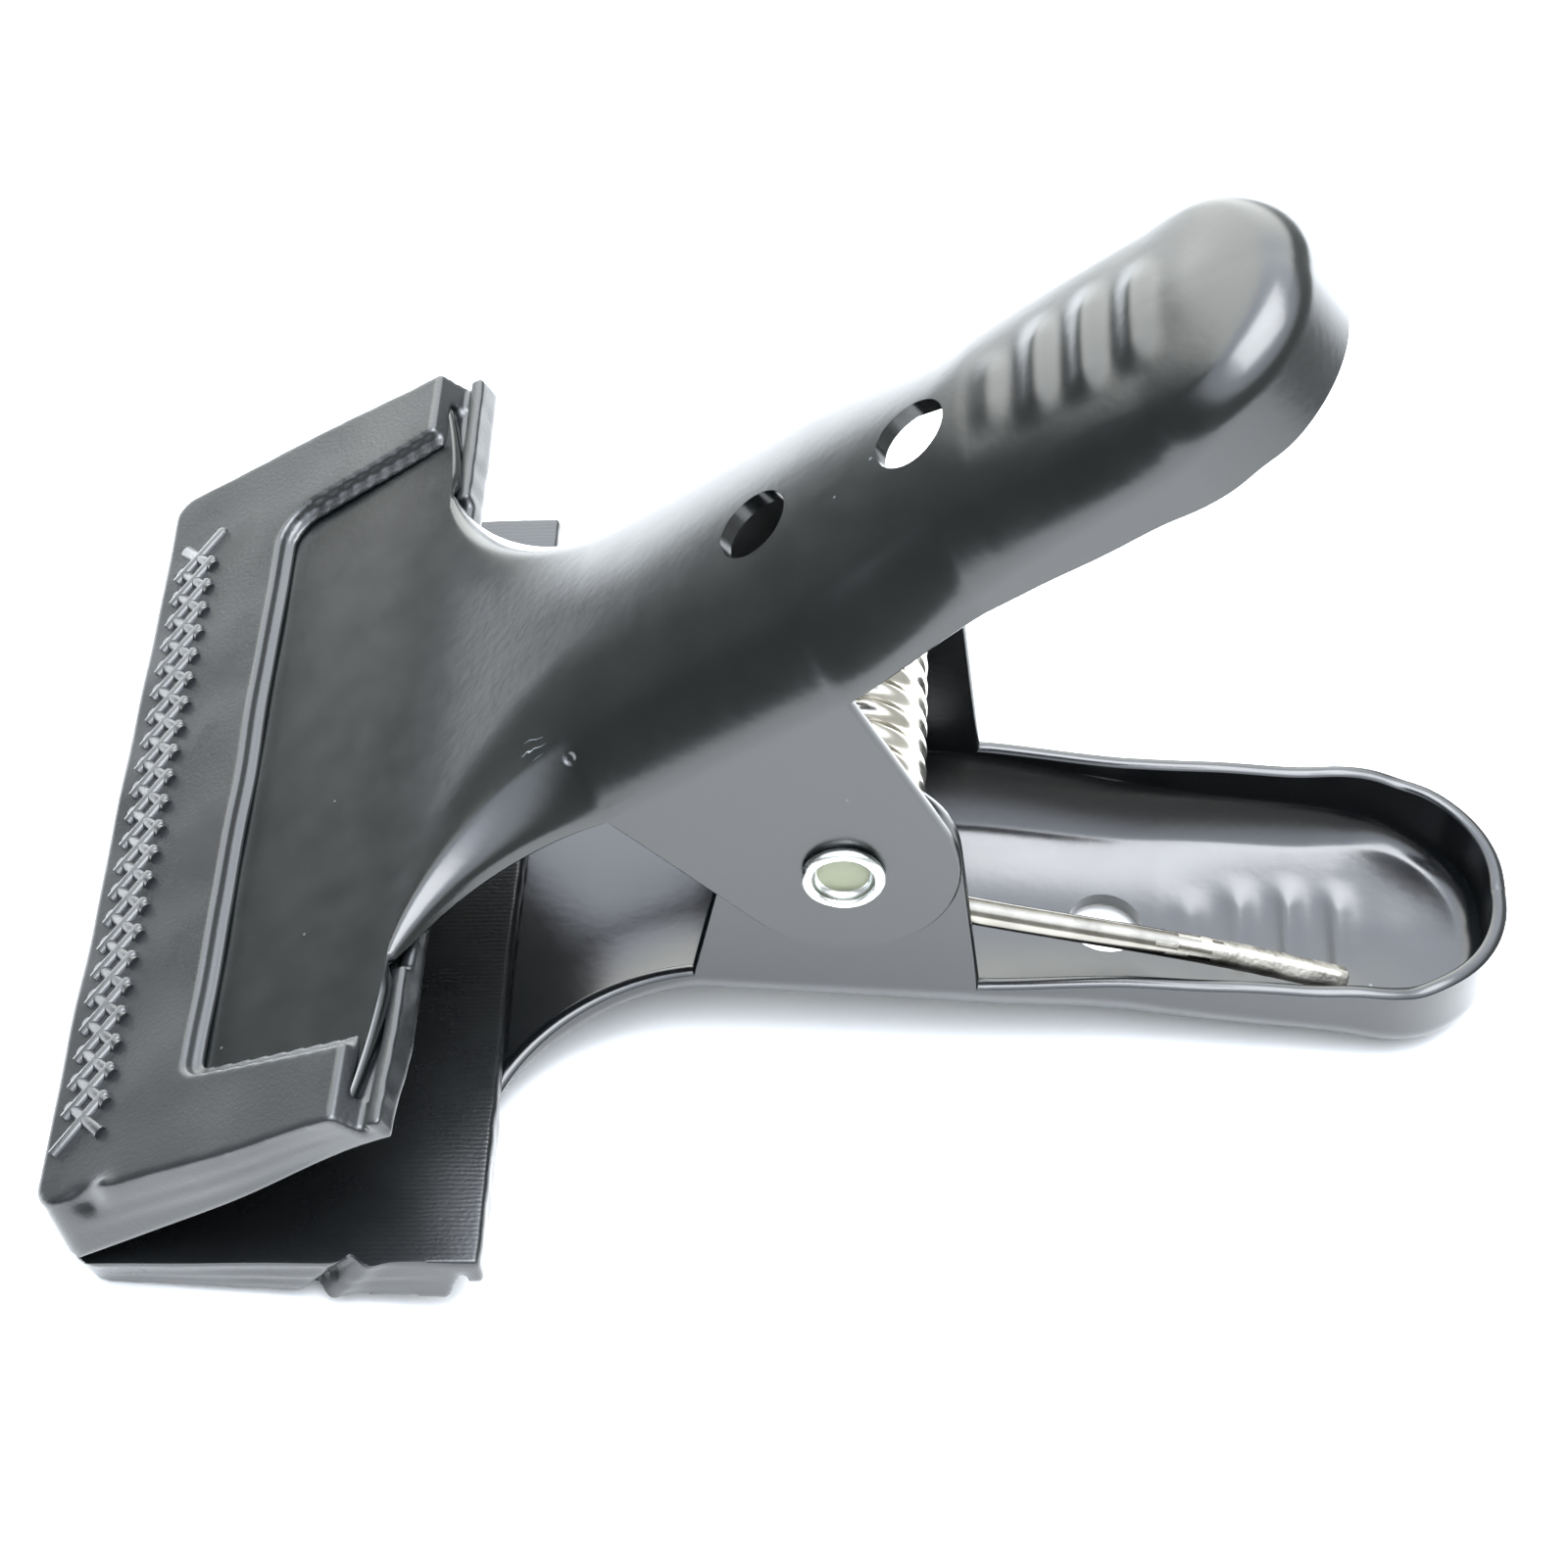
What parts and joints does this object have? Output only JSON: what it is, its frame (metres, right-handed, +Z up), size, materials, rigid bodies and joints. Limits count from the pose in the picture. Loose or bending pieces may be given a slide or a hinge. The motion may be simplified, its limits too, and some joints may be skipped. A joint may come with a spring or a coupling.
{
  "type": "spring clamp",
  "caption": "Hand clamp with broad rubber jaws: two pressed-steel levers on a hollow rivet, held shut by a wound wire spring.",
  "frame": {"origin": "middle of the clamp's footprint, on the surface that the closed clamp stands on", "axes": "+X from the jaws to the handles, +Y across the jaws along the rivet, +Z up"},
  "size_m": [0.1198, 0.085, 0.0795],
  "materials": {
    "upper_steel": "satin black paint over pressed sheet steel",
    "lower_steel": "satin black paint over pressed sheet steel",
    "pad_rubber": "matte moulded rubber",
    "spring_wire": "bright drawn spring wire",
    "rivet_zinc": "bright zinc plating"
  },
  "bodies": {
    "lower": {"lower_lever": "lower_steel", "lower_jaw_pad": "pad_rubber", "pivot_rivet": "rivet_zinc", "torsion_spring": "spring_wire"},
    "upper": {"upper_lever": "upper_steel", "upper_jaw_pad": "pad_rubber"}
  },
  "joints": [
    {"name": "pivot", "type": "hinge", "parent": "lower", "child": "upper", "pos_m": [0.0032, 0, 0.02532], "axis": [0, 1, 0], "range_deg": [0, 60], "stiffness_Nm_per_rad": 0.83, "springref_deg": -60.16, "deforming": ["torsion_spring"]}
  ]
}
